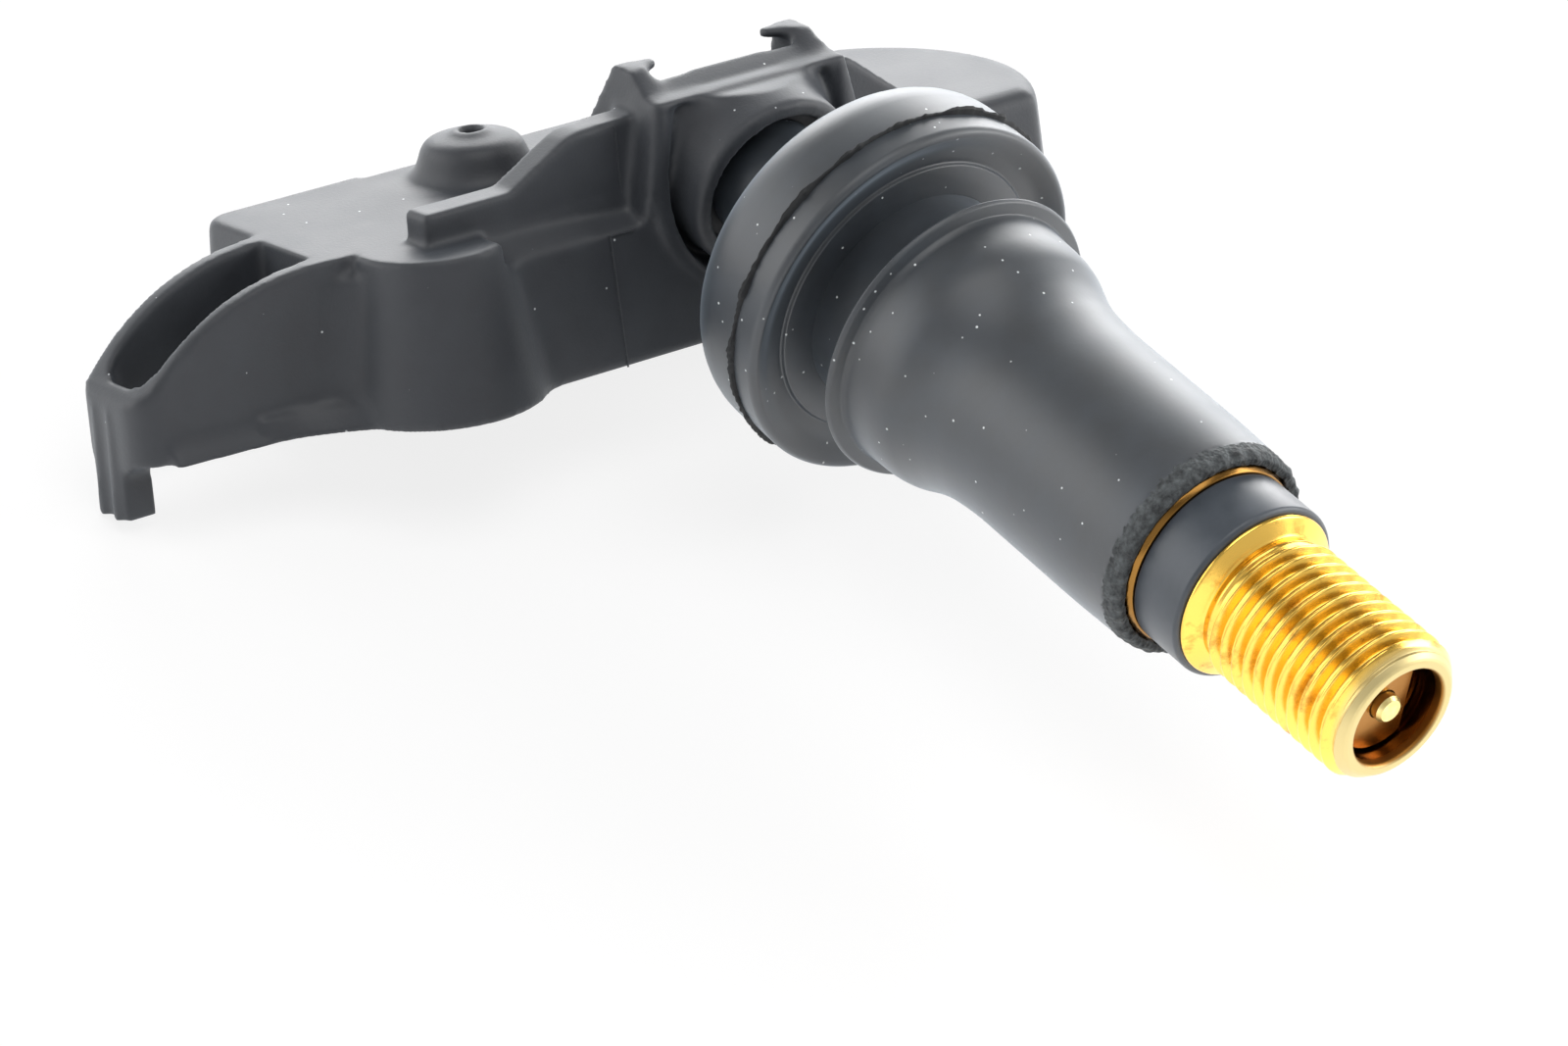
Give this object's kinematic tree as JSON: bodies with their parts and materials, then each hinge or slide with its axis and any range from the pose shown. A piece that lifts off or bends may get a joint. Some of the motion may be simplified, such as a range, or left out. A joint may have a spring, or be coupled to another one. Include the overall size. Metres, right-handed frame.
{
  "type": "tyre pressure sensor",
  "caption": "Snap-in tyre pressure sensor: a moulded sensor housing with a sprung arm, screwed to the bulb end of a rubber and brass valve stem.",
  "frame": {"origin": "on the stem's axis, in the middle of the rubber neck that the wheel's valve hole grips", "axes": "-Y along the stem to its tip, +X along the housing to its round end, +Z away from the wheel's axle, the way the housing's top faces"},
  "size_m": [0.0565, 0.0646, 0.0235],
  "materials": {
    "housing": "matt black glass-filled nylon",
    "potting": "black potting resin",
    "circuit_board": "green solder mask",
    "coin_cell": "nickel-plated steel can",
    "cell_tab": "nickel strip",
    "chip_plastic": "black chip package",
    "port_gasket": "red silicone",
    "port_filter": "white breathing film",
    "ferrite": "grey ferrite",
    "winding": "lacquered copper wire",
    "capacitors": "tan ceramic",
    "stem_rubber": "satin black rubber",
    "brass": "bright turned brass",
    "stem_sleeve": "satin black",
    "core_gasket": "off-white seal plastic",
    "core_seal": "black rubber",
    "spring_steel": "drawn steel wire",
    "screw_steel": "zinc-plated steel"
  },
  "bodies": {
    "sensor": {"housing": "housing", "potting": "potting", "circuit_board": "circuit_board", "coin_cell": "coin_cell", "cell_tab_top": "cell_tab", "cell_tab_bottom": "cell_tab", "sensor_chip": "chip_plastic", "port_gasket": "port_gasket", "port_filter": "port_filter", "wake_coil_core": "ferrite", "wake_coil_winding": "winding", "radio_antenna": "cell_tab", "radio_chip": "chip_plastic", "crystal": "cell_tab", "chip_capacitors": "capacitors", "rubber_body": "stem_rubber", "stem_tube": "brass", "stem_sleeve": "stem_sleeve", "core_swivel": "brass", "core_barrel": "brass", "core_gasket": "core_gasket", "core_spring": "spring_steel", "mounting_screw": "screw_steel", "screw_washer": "screw_steel"},
    "core_pin": {"core_pin": "brass", "core_cup": "brass", "core_seal": "core_seal"}
  },
  "joints": [
    {"name": "pin_press", "type": "slide", "parent": "sensor", "child": "core_pin", "axis": [0, 1, 0], "range_m": [0, 0.0014], "stiffness_N_per_m": 1500, "springref_m": -0.0012, "deforming": ["core_spring"]}
  ]
}
